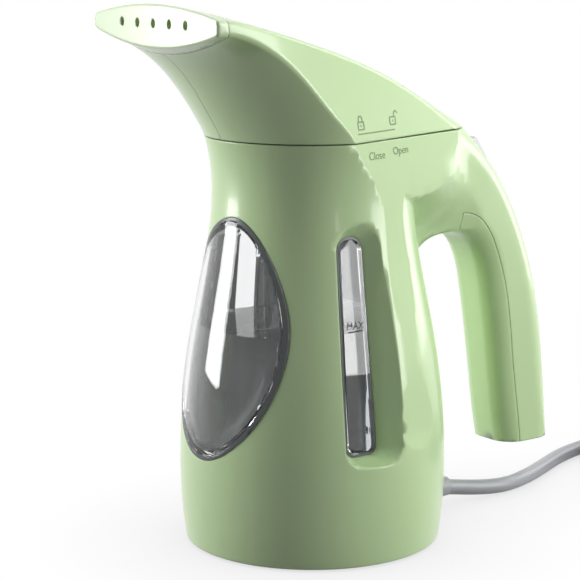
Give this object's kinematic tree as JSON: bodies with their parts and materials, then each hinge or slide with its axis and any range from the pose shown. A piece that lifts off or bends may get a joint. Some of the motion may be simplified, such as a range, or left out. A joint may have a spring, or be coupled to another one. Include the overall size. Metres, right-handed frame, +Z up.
{
  "type": "garment steamer",
  "caption": "Handheld garment steamer: vase-shaped body with handle arch, clear water tank with front window and side gauges, twist-off steam head, rocker switch and mains cord.",
  "frame": {"origin": "centre of the base's underside, on the surface the steamer stands on", "axes": "+Z up along the vase axis; +X to the handle, so the nozzle points to -X; +Y completes the frame"},
  "size_m": [0.3558, 0.18, 0.2296],
  "materials": {
    "housing": "glossy pale green moulding",
    "nozzle": "pale green moulding, slightly lighter",
    "seal_dark": "dark satin seal",
    "clear_tank": "clear moulded plastic, faintly smoky",
    "silicone": "translucent silicone",
    "collar": "matt green moulding",
    "steel": "brushed",
    "screw_steel": "plated",
    "element": "cast, dull",
    "control": "dark phenolic",
    "insulator": "off-white nylon",
    "wire": "glass-fibre sleeve",
    "base": "matt green moulding",
    "foot_rubber": "matt",
    "switch_black": "black nylon",
    "rocker_grey": "light grey moulding",
    "cord_grey": "satin grey jacket",
    "tie_black": "woven hook-and-loop strap",
    "pin_brass": "bright blades",
    "duct_plastic": "heat-resistant moulding"
  },
  "bodies": {
    "base": {"body_shell": "housing", "handle_cover": "housing", "window_gasket": "seal_dark", "gauge_gasket_left": "seal_dark", "gauge_gasket_right": "seal_dark", "water_tank": "clear_tank", "tank_seal": "silicone", "neck_collar": "collar", "heater_seal": "silicone", "heater_plate": "steel", "heater_screws": "screw_steel", "heating_element": "element", "thermostat": "control", "thermal_fuse": "control", "terminal_block": "insulator", "wiring": "wire", "base_cover": "base", "base_screws": "screw_steel", "rubber_feet": "foot_rubber", "switch_module": "switch_black", "rocker_pin": "steel", "cord_gland": "cord_grey", "cord_clamp": "insulator", "clamp_screws": "screw_steel", "power_cord": "cord_grey", "cord_coil": "cord_grey", "cord_tie": "tie_black", "plug_body": "cord_grey", "plug_pins": "pin_brass"},
    "head": {"head_left": "housing", "head_right": "housing", "nozzle_plate": "nozzle", "steam_duct": "duct_plastic", "head_base": "duct_plastic", "head_gasket": "silicone", "splash_baffle": "duct_plastic"},
    "rocker": {"power_rocker": "rocker_grey"}
  },
  "joints": [
    {"name": "head_twist", "type": "hinge", "parent": "base", "child": "head", "pos_m": [0, 0, 0.174], "axis": [0, 0, 1], "range_deg": [0, 20]},
    {"name": "rocker_tilt", "type": "hinge", "parent": "base", "child": "rocker", "pos_m": [0.08733, 0, 0.15662], "axis": [0, -1, 0], "range_deg": [0, 10]}
  ]
}
